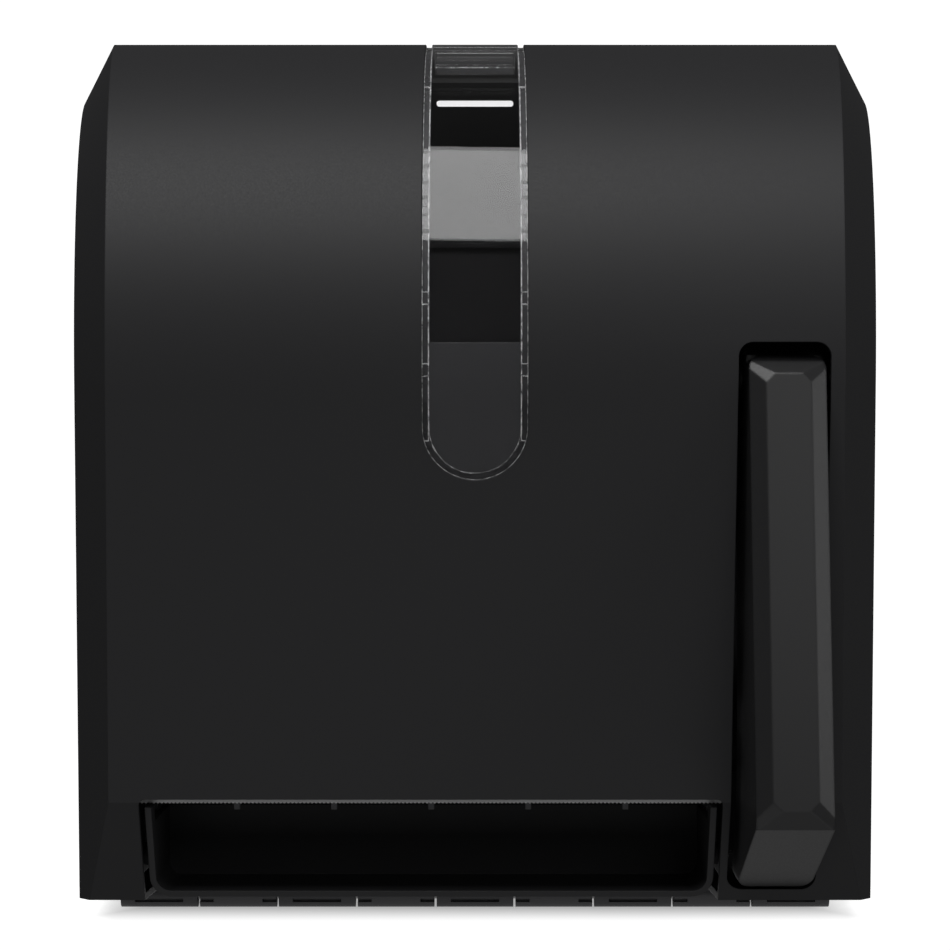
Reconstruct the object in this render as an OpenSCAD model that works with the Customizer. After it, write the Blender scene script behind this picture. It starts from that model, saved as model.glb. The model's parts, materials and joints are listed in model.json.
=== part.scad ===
// Push-paddle roll towel dispenser, wall mounted.
// X runs to the right seen from the front, +Y runs to the wall, +Z is up.
// The wall is the plane Y = 0 and the origin is the centre of the wall screws.

/* [Towel roll] */
// Width of the towel roll between the hubs
roll_w = 200; // [180:1:220]
// Radius of the hubs that carry the roll core
hub_r = 17.5; // [15:0.5:19]
// Room beside the towel at each end of the mouth
mouth_room = 9.8; // [8:0.2:14]

/* [Cover] */
// Depth from the wall to the foremost line of the cover
body_d = 202; // [185:1:225]
// Radius of the curved top front
arc_r = 122; // [115:1:128]
// Wall thickness of the cover
wall = 2.8; // [2.4:0.1:3.2]
// Width of the sight window
window_w = 39.2; // [34:0.2:44]
// Width of the cover to the left of the mouth
left_room = 38.65; // [35:0.05:60]
// Position of the key lock across the top
lock_x = 60; // [48:1:80]

/* [Feed] */
// Radius of the rubber feed roller
feed_r = 18; // [16:0.5:18]
// Radius of the pinch wheels
pinch_r = 8; // [7:0.25:8.5]
// Spacing of the tear bar teeth
tooth_pitch = 1.5; // [1.25:0.25:3]

/* [Paddle] */
// Width of the push paddle
paddle_w = 28.2; // [26:0.2:34]
// Wall thickness of the paddle
paddle_wall = 2.2; // [1.8:0.1:2.6]

/* [Fixing] */
// Spacing of the wall screws across
screw_span_x = 140; // [128:2:150]
// Spacing of the wall screws up and down
screw_span_z = 120; // [104:2:124]
// Radius of the wall screw holes
screw_hole_r = 2.75; // [2.25:0.25:3.5]

/* [Hidden] */
$fn = 64;
fine = 180;

dark_plastic = "#2c2c2f";
mid_plastic = "#3a3b3f";
pale_plastic = "#8f9196";
clear_plastic = "#56585c";
steel = "#b9bcc0";
rubber = "#46484b";

// Running fit, overlap of joined shapes, smallest step, length of a cut that passes through
fit = 0.06;
lap = 0.4;
hair = 0.05;
far = 260;

// Widths across X: the cover takes in the mouth, the paddle and the room beside them
paddle_gap = 6.75;
paddle_room = 37;
mouth_w = roll_w + 2 * mouth_room;
body_w = left_room + mouth_w + paddle_gap + paddle_w + paddle_room;
half_w = body_w / 2;
mouth_x0 = -half_w + left_room;
mouth_x1 = mouth_x0 + mouth_w;
mouth_cx = (mouth_x0 + mouth_x1) / 2;
paddle_x0 = mouth_x1 + paddle_gap;
paddle_x1 = paddle_x0 + paddle_w;
paddle_cx = (paddle_x0 + paddle_x1) / 2;

// Cover, seen from the side: arc, leaning front, toe and sloping base
front_y = -body_d;
arc_y = front_y + arc_r;
arc_z = 52.2;
top_z = arc_z + arc_r;
side_draft = 5;
front_lean = 10.5;
toe_lean = 30;
base_slope = 3.5;
bend_z = -123;
toe_z = -163;
cover_back = -1;
lean_start = [arc_y, arc_z] - arc_r * [cos(front_lean), sin(front_lean)];
bend_p = [lean_start[0] + (lean_start[1] - bend_z) * tan(front_lean), bend_z];
toe_p = [bend_p[0] + (bend_z - toe_z) * tan(toe_lean), toe_z];
lean_n = [-cos(front_lean), -sin(front_lean)];
toe_n = [-cos(toe_lean), -sin(toe_lean)];
base_n = [-sin(base_slope), -cos(base_slope)];

// Slanted band along the cover's side edges: slope, depth and the waste that is cut away
band_slope = 0.505;
band_depth = 23.1;
band_out = 4;
band_in = 18;
band_waste = 12;
slab_lap = 9;
corner_drop = 23.6;
corner_in = 11;

// Back plate
plate_t = 3;
plate_half = half_w - 6.5;
plate_top = top_z - wall - 1.5;
plate_low = -166;
plate_foot = -183.6;
plate_corner = 4;
rim_d = 12;
rim_t = 2.2;
rib_h = 2.2;
rib_t = 2;
rib_x = 40;
rib_z = [-20, 100];
screw_boss_r = 8;
wall_screw_at = [for (x = [-1, 1], z = [-1, 1]) [x * screw_span_x / 2, z * screw_span_z / 2]];
see_slot_w = 33.4;
see_slot_z = top_z - 13.5;
see_slot_h = 3;

// Hinge along the bottom
hinge_y = -12;
hinge_z = -181.3;
hinge_l = body_w - 23.7;
hinge_pin_r = 2;
knuckle_r = 5.5;
knuckle_n = 9;
knuckle_l = hinge_l / knuckle_n;
knuckle_gap = 0.5;
knuckle_arm = 10.5;
knuckle_arm_t = 4.4;
knuckle_root = [hinge_y - knuckle_arm, base_z(hinge_y - knuckle_arm) + 1.1];
notch_h = 1.4;
notch_z = hinge_z - 2;
notch_y = hinge_y - 3.2;
notch_short = 6.5;
notch_long = 10.4;

// Window: lens, its stepped sides with clips, the bed in the cover and the opening
window_low = -2;
window_back = -40;
lens_t = 2.4;
lens_gap = 0.2;
lens_relief = 0.3;
flange_w = 2.6;
flange_low = 12.5;
clip_at = [38.3, 64.5, 150];
clip_l = 4.5;
bed_t = 5.4;
bed_side = 5;
bed_low = 12;
window_rim = 3;
window_open_z = 48.4;

// Towel mouth in the cover
mouth_top = -121.8;
mouth_corner = 2.5;
mouth_deep = front_y + 77;
base_gap = 0.3;

// Feed roller, pinch roller and the gears between the paddle and the feed roller
feed_y = front_y + 109;
feed_z = -112;
nip_gap = 0.3;
pinch_z = feed_z - feed_r - pinch_r - nip_gap;
shaft_r = 4;
pinch_shaft_r = 3;
tyre_t = 4;
tyre_l = 26;
wheel_l = 22;
wheel_step = roll_w * 0.19;
wheel_at = [for (i = [-2 : 2]) mouth_cx + i * wheel_step];
core_l = roll_w - 8;
gear_m = 1.25;
pinion_n = 14;
sector_n = 256;
gear_add = 0.8;
gear_ded = 1.05;
pressure_a = 20;
backlash = 0.3;
pinion_pr = gear_m * pinion_n / 2;
sector_pr = gear_m * sector_n / 2;
pivot_z = 38;
pivot_y = feed_y - sqrt(pow(pinion_pr + sector_pr, 2) - pow(pivot_z - feed_z, 2));
pivot_p = [pivot_y, pivot_z];
pivot_r = 3;
boss_r = 9;
mesh_a = atan2(feed_z - pivot_z, feed_y - pivot_y);
stroke = 15;
gear_x0 = paddle_cx - 5;
gear_x1 = gear_x0 + 6;
clutch_l = 6;
clutch_r = 8;
sector_spare = 3.5;
sector_low = mesh_a - stroke - sector_spare;
sector_high = mesh_a + sector_spare;
sector_step = 360 / sector_n;
sector_root = sector_pr - gear_ded * gear_m;
sector_rim = 11;
clamp_p = [front_y + 15, -60];
clamp_r = 2;
clamp_t = 2.6;

// Frames, as ranges across X
frame_t = 2.5;
left_x1 = mouth_x0 - 4.6;
left_x0 = left_x1 - frame_t;
inner_x0 = paddle_x0 - 3.8;
inner_x1 = paddle_x0 - 1.5;
outer_x0 = paddle_x1 + 8.7;
outer_x1 = outer_x0 + frame_t;
flange_l = 12;
flange_t = 3;
bush_r = 7;
bush_flange_r = 9.2;
bush_flange_t = 1.4;
block_half = 4.5;
block_h = 5;
block_flange_t = 1.2;
spring_seat_z = pinch_z - 16.7;

// Side views of the frames as Y and Z, from the wall along the underside to the front
frame_low_z = -157.5;
frame_front = feed_y - 41;
frame_foot = [[-plate_t, feed_z - 6], [feed_y + 27, feed_z - 14], [feed_y + 21, frame_low_z],
    [feed_y - 29, frame_low_z], [frame_front, feed_z - 30], [frame_front, feed_z + 8]];
frame_low_head = [[feed_y - 29, feed_z + 24], [feed_y + 27, feed_z + 48],
    [-plate_t, feed_z + 50]];
frame_tall_head = [pivot_p - [boss_r, 0], pivot_p + [0, boss_r], [-plate_t, 10]];
outer_foot = [[-plate_t, feed_z - 6], [feed_y - 7, feed_z - 20], [feed_y - 29, feed_z - 6]];
frame_gap = [[-18, feed_z + 56], [-18, feed_z + 108], [feed_y - 25, pivot_z - 22],
    [feed_y - 11, feed_z + 46]];

// Chute below the rollers; its lip lies just inside the toe of the cover
chute_half = mouth_w / 2 - 2;
chute_back = feed_y + 21;
chute_top = -125.2;
chute_low = -162;
chute_wall = 2.4;
chute_corner = 8;
lip_inset = 2.5;
lip_l = 13;
apron_t = 1.3;
apron_back = feed_y - pinch_r - 0.6;
apron_front = apron_back - apron_t;
apron_top = feed_z - feed_r - 1.7;
chute_side = apron_top - 2.3;
ear_at = [feed_y - 19, feed_y + 13];
ear_z = -150;
ear_r = 4.5;

// Tear bar on the front of its holder
tear_y = front_y + 42;
tear_t = 1.2;
tear_top = -111.5;
tear_edge = -124.7;
tear_tooth = 0.6;
tear_x0 = left_x1 + 1;
tear_x1 = inner_x0 - 1;
tear_n = floor((tear_x1 - tear_x0) / tooth_pitch);
tear_step = (tear_x1 - tear_x0) / tear_n;
tear_lugs = [for (i = [-2 : 2]) mouth_cx + i * mouth_w * 0.168];
tear_lug_w = 2.2;
tear_lug_l = 2.3;
tear_screws = [for (i = [-2.5 : 2.5]) mouth_cx + i * mouth_w * 0.168];
tear_screw_z = -117;
tear_screw_r = 1.3;
holder_t = 2.4;
holder_top = -108.4;
holder_low = -123.6;
rail_y = feed_y - 27;
rail_t = 7;
rail_low = -128.5;
guard_r0 = feed_r + 2.2;
guard_r1 = feed_r + 4.4;
tenon = [rail_y + 1, rail_y + 6, -127, -115];

// Paddle: slot in the cover, panel with bevels, skirt
slot_x0 = paddle_x0 - 3.8;
slot_x1 = paddle_x1 + 1.8;
slot_top = 48.5;
slot_low = -158.4;
slot_corner = 5.4;
slot_deep = front_y + 67;
paddle_lean = 8.9;
panel_top = [front_y - 2.8, 37];
panel_l = 158.2;
panel_low = panel_top - panel_l * [sin(paddle_lean), cos(paddle_lean)];
bevel_w = 5.9;
bevel_d = 3.8;
bevel_top = [front_y + 2.7, 41.7];
rim_top = [front_y + 6.7, 43.6];
bevel_low = panel_low + [3.8, -7];
skirt_low = [front_y + 50, -157.2];
skirt_back = [front_y + 67, -152.6];
paddle_corner = 4.6;
facet_in = 1.65;
facet_a = 24.7;

// Roll holder
roll_y = arc_y - 20;
roll_z = 62;
arm_t = 3.5;
arm_r = 18;
axle_r = 4;
axle_head_r = 6;
axle_head_t = 2;
axle_l = 9;
hub_gap = 0.4;
hub_flange = 4;
hub_l = 11;
hub_tip = 4;
arm_l1 = mouth_cx - roll_w / 2 - hub_flange - hub_gap;
arm_r0 = mouth_cx + roll_w / 2 + hub_flange + hub_gap;
arm_pin_x = arm_r0 + arm_t / 2;
arm_pin_y = -12;
arm_pin_r = 2;
arm_lug_r = 5;
arm_lug_h = 4.5;
arm_lug_z = [roll_z - 25, roll_z + 20.5];
arm_barrel = [roll_z - 19, roll_z + 9.5];
arm_spring_z = roll_z + 11;
arm_foot = 28;

// Springs: radius of the coil, rise of a turn, radius of the wire
paddle_coil = [5.6, 1.8, 0.65];
arm_coil = [2.9, 1.7, 0.45];
pinch_turns = 5;
spring_end = 0.4;
pinch_coil = [2.1, (pinch_z - block_h - spring_seat_z - 2 * spring_end) / pinch_turns, 0.35];
arm_leg = arm_coil[0] - arm_coil[2] - 0.03;
stop_r = 1.6;
fixed_stop = pivot_p + [22, paddle_coil[0] + paddle_coil[2] + stop_r];
clip_t = 0.8;

// Screws
screw_r = 1.6;
screw_head_r = 3;
screw_head_t = 2;
frame_screw_at = [[left_x1 + 6, feed_z + 4], [left_x1 + 6, feed_z + 40],
    [inner_x1 + 5.5, feed_z + 4], [inner_x1 + 5.5, 0], [outer_x0 - 6, feed_z + 4],
    [outer_x0 - 6, 0]];
arm_screw_at = [for (z = [-20, 20]) [arm_l1 - arm_t - 6, roll_z + z]];

// Lock: heights below the top of the cover
lock_y = -24;
lock_r = 9;
lock_head_r = 11.5;
lock_head_t = 1.5;
lock_l = 17;
plug_r = 6;
plug_tail_r = 3.5;
keyway = [1.6, 7, 8];
cam_z0 = top_z - 22.2;
cam_z1 = top_z - 19;
cam_l = 17.5;
cam_half = 4.5;
cam_hook = 5.5;

// A shape drawn in Y and Z, spread from x0 to x1
module across(x0, x1) {
    translate([x0, 0, 0])
        rotate([90, 0, 90])
            linear_extrude(x1 - x0)
                children();
}

// A shape drawn in X and Z, spread from y0 to y1
module inward(y0, y1) {
    translate([0, y1, 0])
        rotate([90, 0, 0])
            linear_extrude(y1 - y0)
                children();
}

module rod_x(x0, x1, p, r) {
    translate([x0, p[0], p[1]])
        rotate([0, 90, 0])
            cylinder(r = r, h = x1 - x0);
}

module rod_y(y0, y1, p, r) {
    translate([p[0], y1, p[1]])
        rotate([90, 0, 0])
            cylinder(r = r, h = y1 - y0);
}

module rod_z(z0, z1, p, r) {
    translate([p[0], p[1], z0])
        cylinder(r = r, h = z1 - z0);
}

// A ring about an X axis
module ring_x(x0, x1, p, r, bore) {
    difference() {
        rod_x(x0, x1, p, r);
        rod_x(x0 - 1, x1 + 1, p, bore);
    }
}

module box(x0, x1, y0, y1, z0, z1) {
    translate([x0, y0, z0])
        cube([x1 - x0, y1 - y0, z1 - z0]);
}

module disc_at(p, r) {
    translate(p)
        circle(r = r);
}

// A straight bar with square ends between two points
module bar_at(p, q, w) {
    translate(p)
        rotate([0, 0, atan2(q[1] - p[1], q[0] - p[0])])
            translate([0, -w / 2])
                square([norm(q - p), w]);
}

module round_rect(x0, x1, z0, z1, r) {
    translate([x0 + r, z0])
        square([x1 - x0 - 2 * r, z1 - z0]);
    translate([x0, z0 + r])
        square([x1 - x0, z1 - z0 - 2 * r]);
    for (x = [x0 + r, x1 - r], z = [z0 + r, z1 - r])
        disc_at([x, z], r);
}

// Height of the cover's base at the depth y, and depth of its toe at the height z
function base_z(y) = toe_z - (y - toe_p[0]) * tan(base_slope);
function toe_y(z) = bend_p[0] + (bend_z - z) * tan(toe_lean);

// Side outline of the cover from x0 to x1, set in by e and open to the plane y_end.
// The straight stretches lie a hair inside the curve, so that they cross it cleanly.
module side_form(x0, x1, e, y_end) {
    c = [arc_y, arc_z];
    r = arc_r - e;
    h = r - hair;
    toe = toe_p - e * (toe_n + base_n) / (1 + toe_n * base_n);
    bend = bend_p - (e + hair) * (lean_n + toe_n) / (1 + lean_n * toe_n);
    union() {
        across(x0, x1)
            intersection() {
                disc_at(c, r, $fn = fine);
                translate(c + [-200, -60])
                    square([220, 300]);
            }
        across(x0, x1)
            polygon([c, [arc_y, arc_z + h], [y_end, arc_z + h],
                [y_end, toe[1] - (y_end - toe[0]) * tan(base_slope)], toe, bend,
                c + h * lean_n]);
    }
}

// Wall between two such outlines, e0 and e1 below the surface
module side_shell(x0, x1, e0, e1) {
    difference() {
        side_form(x0, x1, e0, 0);
        side_form(x0 - 2, x1 + 2, e1, 9);
    }
}

// Section of the waste outside the slanted band
function band_section(r) = [[r - band_out / band_slope, band_out],
    [r + band_in / band_slope, -band_in],
    [r + band_in / band_slope + band_waste, -band_in],
    [r + band_in / band_slope + band_waste, band_out]];

// A straight run of that waste, from s0 to s1 along the cover's side
module band_run(r, s0, s1) {
    translate([0, s1, 0])
        rotate([90, 0, 0])
            linear_extrude(s1 - s0)
                polygon(band_section(r));
}

// Waste outside the slanted band on the right side: over the top, round the arc, down the front
module band_cut(e) {
    r = arc_r - band_depth - e * sqrt(1 + band_slope * band_slope) / band_slope;
    translate([half_w, 0, 0])
        rotate([0, 0, -side_draft])
            translate([0, arc_y / cos(side_draft), arc_z])
                rotate([90, 0, 90]) {
                    rotate([0, 0, 90])
                        rotate_extrude(angle = 90 + front_lean, $fn = fine)
                            polygon(band_section(r));
                    rotate([0, 0, 90])
                        band_run(r - hair, slab_lap - far, slab_lap);
                    rotate([0, 0, 180 + front_lean])
                        band_run(r - hair, -slab_lap, far);
                }
}

// Plan of the cover with drafted sides, set in by e
module plan_taper(e) {
    behind = 12;
    ahead = body_d + 30;
    mid = half_w - e / cos(side_draft);
    near = mid + behind * tan(side_draft);
    tip = mid - ahead * tan(side_draft);
    translate([0, 0, -far])
        linear_extrude(2 * far)
            polygon([[-tip, -ahead], [tip, -ahead], [near, behind], [-near, behind]]);
}

module cover_form(e, y_end) {
    difference() {
        intersection() {
            side_form(-half_w - 3, half_w + 3, e, y_end);
            plan_taper(e);
        }
        band_cut(e);
        mirror([1, 0, 0])
            band_cut(e);
    }
}

// Space that the window takes, narrowed by c
module window_space(c) {
    r = window_w / 2 - c;
    mid = window_low + window_w / 2;
    box(-r, r, -far, window_back - c, mid, far);
    rod_y(-far, front_y + 52, [0, mid], r);
}

// Left end of hinge knuckle i
function knuckle_x(i) = -hinge_l / 2 + i * knuckle_l;

module knuckles(first) {
    for (i = [first : 2 : knuckle_n - 1])
        rod_x(knuckle_x(i) + knuckle_gap, knuckle_x(i + 1) - knuckle_gap, [hinge_y, hinge_z],
            knuckle_r);
}

module hinge_bore() {
    rod_x(-far, far, [hinge_y, hinge_z], hinge_pin_r + fit);
}

// A notch in the front of the hinge between x0 and x1
module knuckle_notch(x0, x1) {
    box(x0, x1, notch_y - 15, notch_y, notch_z - notch_h / 2, notch_z + notch_h / 2);
}

module front_cover() {
    w = window_w / 2;
    color(dark_plastic)
        difference() {
            union() {
                difference() {
                    cover_form(0, cover_back);
                    cover_form(wall, 9);
                    // room for the foot of the back plate
                    box(-plate_half - 1.6, plate_half + 1.6, hinge_y - 8.5, 6, -far, toe_z + 3);
                }
                // thicker bed under the window
                intersection() {
                    side_shell(-w - bed_side, w + bed_side, wall - lap, bed_t);
                    box(-60, 60, -far, window_back + 6, window_low - bed_low, far);
                }
                knuckles(1);
                for (i = [1 : 2 : knuckle_n - 1])
                    across(knuckle_x(i) + knuckle_gap, knuckle_x(i + 1) - knuckle_gap)
                        bar_at([hinge_y, hinge_z], knuckle_root, knuckle_arm_t);
                // keeper ring under the lock
                rod_z(top_z - wall - 1.2, top_z - 1, [lock_x, lock_y], lock_head_r - 0.1);
            }
            // towel mouth, open at the bottom
            inward(-far, mouth_deep)
                union() {
                    round_rect(mouth_x0, mouth_x1, toe_z - 27, mouth_top, mouth_corner);
                    translate([mouth_x0, -far])
                        square([mouth_w, far + toe_z - 2]);
                }
            box(mouth_x0 - base_gap, mouth_x1 + base_gap, mouth_deep - 10, chute_back + 12,
                -far, ear_z);
            // opening for the paddle
            inward(-far, slot_deep)
                round_rect(slot_x0, slot_x1, slot_low, slot_top, slot_corner);
            // bed and opening of the window
            intersection() {
                side_shell(-w, w, -2, lens_t);
                window_space(0);
            }
            intersection() {
                side_shell(-w + window_rim, w - window_rim, -2, bed_t + 3);
                box(-60, 60, -far, window_back - window_rim, window_open_z, far);
            }
            rod_z(top_z - 20, top_z + 10, [lock_x, lock_y], lock_r + fit);
            hinge_bore();
            // finger notches at both ends of the hinge knuckles
            for (i = [1 : 2 : knuckle_n - 1]) {
                knuckle_notch(knuckle_x(i) - knuckle_gap, knuckle_x(i) + notch_short);
                knuckle_notch(knuckle_x(i + 1) - notch_short, knuckle_x(i + 1) + knuckle_gap);
            }
        }
}

// Step along one side of the lens, left out where the clips stand
module lens_step() {
    difference() {
        side_shell(window_w / 2 - flange_w, window_w / 2 + 5, -2, lens_t / 2);
        box(0, 60, -far, 0, -60, flange_low);
        for (z = clip_at)
            box(0, 60, -far, 0, z - clip_l / 2, z + clip_l / 2);
    }
}

module window_lens() {
    w = window_w / 2;
    color(clear_plastic)
        difference() {
            intersection() {
                side_shell(-w + lens_gap, w - lens_gap, 0, lens_t);
                window_space(lens_gap);
            }
            lens_step();
            mirror([1, 0, 0])
                lens_step();
            // relieved back: only the border rests on the bed
            intersection() {
                side_shell(-w, w, lens_t - lens_relief, lens_t + 2);
                window_space(flange_w);
            }
        }
}

// Front view of the plate, its top corners slanted like the cover, set in by e
module plate_outline(e) {
    x = plate_half - e;
    c = plate_corner;
    shoulder = top_z - corner_drop - e * 0.6;
    x_top = x - corner_in + e * 0.4;
    polygon([[-x + c, plate_low + e], [x - c, plate_low + e], [x, plate_low + e + c],
        [x, shoulder], [x_top, plate_top - e], [-x_top, plate_top - e], [-x, shoulder],
        [-x, plate_low + e + c]]);
}

module back_plate() {
    face = -plate_t + 0.2;
    proud = -plate_t - rib_h;
    color(mid_plastic)
        difference() {
            union() {
                inward(-plate_t, 0)
                    plate_outline(0);
                box(knuckle_x(0) + knuckle_gap, knuckle_x(knuckle_n) - knuckle_gap, -plate_t, 0,
                    plate_foot, plate_low + plate_corner);
                // rim inside the cover
                inward(-rim_d, face + 0.1)
                    difference() {
                        plate_outline(0);
                        plate_outline(rim_t);
                    }
                // stiffening ribs
                for (x = [-rib_x, rib_x])
                    box(x - rib_t / 2, x + rib_t / 2, proud, face, -80, top_z - 28.2);
                for (z = rib_z)
                    box(arm_l1 + 9, arm_r0 - 9.75, proud, face, z - rib_t / 2, z + rib_t / 2);
                for (p = wall_screw_at)
                    rod_y(proud, face, p, screw_boss_r);
                // small ribs above the slot
                box(-5.5, -2, -plate_t - 1, face, see_slot_z + 6.1, see_slot_z + 7.1);
                box(2, 6.2, -plate_t - 1, face, see_slot_z + 6.1, see_slot_z + 7.1);
                // hook behind which the lock cam turns
                box(lock_x - 5, lock_x + 5, lock_y + 8.5, face, cam_z0 - 11.5, cam_z0 - 8);
                box(lock_x - 5, lock_x + 5, lock_y + 8.5, lock_y + 11, cam_z0 - 11.5,
                    cam_z0 - 2.5);
                // lugs for the pin of the swinging arm
                for (z = arm_lug_z) {
                    rod_z(z, z + arm_lug_h, [arm_pin_x, arm_pin_y], arm_lug_r);
                    box(arm_pin_x - arm_lug_r, arm_pin_x + arm_lug_r, arm_pin_y, face, z,
                        z + arm_lug_h);
                }
                // post for the fixed leg of the arm spring
                box(arm_pin_x + 8, arm_pin_x + 11, arm_pin_y - arm_leg, face, arm_spring_z - 3,
                    arm_spring_z + 3);
                // hinge knuckles with their roots
                knuckles(0);
                for (i = [0 : 2 : knuckle_n - 1])
                    across(knuckle_x(i) + knuckle_gap, knuckle_x(i + 1) - knuckle_gap)
                        polygon([[-plate_t + 1, plate_foot], [hinge_y, plate_foot],
                            [hinge_y, hinge_z + 4.7], [-plate_t, hinge_z + 7.3],
                            [-plate_t + 1, hinge_z + 7.3]]);
            }
            // see-through slot near the top
            inward(-20, 5)
                round_rect(-see_slot_w / 2, see_slot_w / 2, see_slot_z, see_slot_z + see_slot_h,
                    1.2);
            for (p = wall_screw_at)
                rod_y(-20, 5, p, screw_hole_r);
            rod_z(arm_lug_z[0] - 1, arm_lug_z[1] + arm_lug_h + 1, [arm_pin_x, arm_pin_y],
                arm_pin_r);
            hinge_bore();
            // slot in the front of each knuckle
            for (i = [0 : 2 : knuckle_n - 1])
                knuckle_notch(knuckle_x(i + 0.5) - notch_long, knuckle_x(i + 0.5) + notch_long);
            plate_screw_bores();
        }
}

// Bores of the screws that hold the frames and the fixed arm to the plate
module plate_screw_bores() {
    for (p = concat(frame_screw_at, arm_screw_at))
        rod_y(-20, 5, p, screw_r);
}

module plate_screw(p) {
    y = -plate_t - flange_t;
    rod_y(y - screw_head_t, y, p, screw_head_r);
    rod_y(y - 0.2, -0.4, p, screw_r);
}

module frame_screws() {
    color(steel)
        for (p = frame_screw_at)
            plate_screw(p);
}

module arm_screws() {
    color(steel)
        for (p = arm_screw_at)
            plate_screw(p);
}

// Bores of the frames beside the chute: bush, slot of the pinch block, tenon, chute screws
module frame_bores() {
    disc_at([feed_y, feed_z], bush_r);
    translate([feed_y - block_half, spring_seat_z])
        square([2 * block_half, pinch_z + 6.5 - spring_seat_z]);
    translate([tenon[0], tenon[2]])
        square([tenon[1] - tenon[0], tenon[3] - tenon[2]]);
    for (y = ear_at)
        disc_at([y, ear_z], screw_r);
}

// Tapered seat or head of a chute screw at the face x, pointing along d
module screw_taper(x, y, d, r, h) {
    translate([x, y, ear_z])
        rotate([0, 90 * d, 0])
            cylinder(r1 = r, r2 = screw_r, h = h);
}

module left_frame() {
    color(mid_plastic)
        difference() {
            union() {
                across(left_x0, left_x1)
                    difference() {
                        polygon(concat(frame_foot, frame_low_head));
                        frame_bores();
                    }
                box(left_x1 - 0.5, left_x1 + flange_l, -plate_t - flange_t, -plate_t,
                    feed_z - 4, feed_z + 48);
            }
            plate_screw_bores();
            for (y = ear_at)
                screw_taper(left_x0 - 0.01, y, 1, screw_head_r, 1.4);
        }
}

module inner_frame() {
    color(mid_plastic)
        difference() {
            union() {
                across(inner_x0, inner_x1)
                    difference() {
                        union() {
                            polygon(concat(frame_foot, frame_tall_head));
                            disc_at(pivot_p, boss_r);
                        }
                        frame_bores();
                        disc_at(pivot_p, pivot_r);
                        polygon(frame_gap);
                    }
                box(inner_x1 - 0.5, inner_x1 + flange_l - 1, -plate_t - flange_t, -plate_t,
                    feed_z - 4, 8);
            }
            plate_screw_bores();
            for (y = ear_at)
                screw_taper(inner_x1 + 0.01, y, -1, screw_head_r, 1.4);
        }
}

module outer_frame() {
    color(mid_plastic)
        difference() {
            union() {
                across(outer_x0, outer_x1)
                    difference() {
                        polygon(concat(outer_foot, frame_tall_head));
                        disc_at([feed_y, feed_z], bush_r);
                        disc_at(pivot_p, pivot_r);
                        polygon(frame_gap);
                    }
                ring_x(outer_x0, outer_x1, pivot_p, boss_r, pivot_r);
                box(outer_x0 - flange_l, outer_x0 + 0.5, -plate_t - flange_t, -plate_t,
                    feed_z - 4, 8);
                // stop for the fixed leg of the return spring
                rod_x(outer_x0 - 4, outer_x0 + 0.5, fixed_stop, stop_r);
                across(outer_x0, outer_x1)
                    bar_at(pivot_p + [14, -4], pivot_p + [22, 10], 8);
            }
            plate_screw_bores();
        }
}

// Trough in front view, set in by e
module chute_section(e) {
    round_rect(mouth_cx - chute_half + e, mouth_cx + chute_half - e, chute_low + e,
        chute_top + 20, chute_corner - e);
}

module chute() {
    lip = lip_inset / cos(toe_lean);
    under = chute_low - 1;
    color(dark_plastic)
        difference() {
            union() {
                intersection() {
                    inward(-far, chute_back + 1)
                        chute_section(0);
                    // side view: lip along the toe, sides lower behind it
                    across(-far, far)
                        polygon([[toe_y(chute_top) + lip, chute_top],
                            [toe_y(chute_top) + lip + lip_l, chute_top],
                            [toe_y(chute_top) + lip + lip_l, apron_top],
                            [apron_back + 1.6, apron_top], [apron_back + 1.6, chute_side],
                            [chute_back, chute_side], [chute_back, under],
                            [toe_y(under) + lip, under]]);
                }
                // ears that meet the frames
                for (y = ear_at) {
                    rod_x(left_x1, mouth_cx - chute_half + 4, [y, ear_z], ear_r);
                    rod_x(mouth_cx + chute_half - 4, inner_x0, [y, ear_z], ear_r);
                }
            }
            inward(-far, apron_front)
                chute_section(chute_wall);
            inward(apron_back, chute_back - chute_wall)
                chute_section(chute_wall);
            // low back wall, room for the pinch shaft
            box(-far, far, chute_back - chute_wall - 1, chute_back + 1, pinch_z + 2.3, -100);
            box(-far, far, feed_y - 4.4, feed_y + 4.4, pinch_z - 6, -100);
            for (y = ear_at) {
                rod_x(left_x1 - 1, mouth_cx - chute_half + chute_wall, [y, ear_z], screw_r);
                rod_x(mouth_cx + chute_half - chute_wall, inner_x0 + 1, [y, ear_z], screw_r);
            }
        }
}

module chute_screws() {
    end = chute_half - chute_wall + 0.2;
    color(steel)
        for (y = ear_at) {
            rod_x(left_x0 + 0.2, mouth_cx - end, [y, ear_z], screw_r);
            screw_taper(left_x0, y, 1, screw_head_r - 0.01, 1.39);
            rod_x(mouth_cx + end, inner_x1 - 0.2, [y, ear_z], screw_r);
            screw_taper(inner_x1, y, -1, screw_head_r - 0.01, 1.39);
        }
}

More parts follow.
